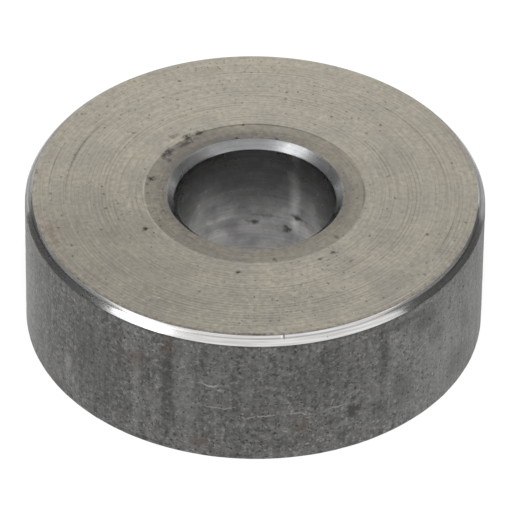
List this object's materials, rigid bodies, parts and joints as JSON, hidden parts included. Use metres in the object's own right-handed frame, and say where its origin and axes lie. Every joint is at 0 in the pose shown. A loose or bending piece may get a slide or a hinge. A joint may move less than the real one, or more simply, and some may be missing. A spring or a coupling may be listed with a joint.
{
  "type": "spacer sleeve",
  "caption": "Short thick-walled round steel spacer with a plain through bore, a shallow recessed ring at its mouth and a bevelled upper edge; sets a gap on a bolt.",
  "frame": {"origin": "centre of the lower end face, on the bore's axis", "axes": "+Z along the bore's axis towards the bevelled end; X and Y lie in the lower end face and are alike"},
  "size_m": [0.03, 0.03, 0.01],
  "materials": {
    "turned_steel": "bright faced end and bevels, darker drawn skin round the outside, uncoated"
  },
  "bodies": {
    "root": {"spacer_sleeve": "turned_steel"}
  },
  "joints": []
}
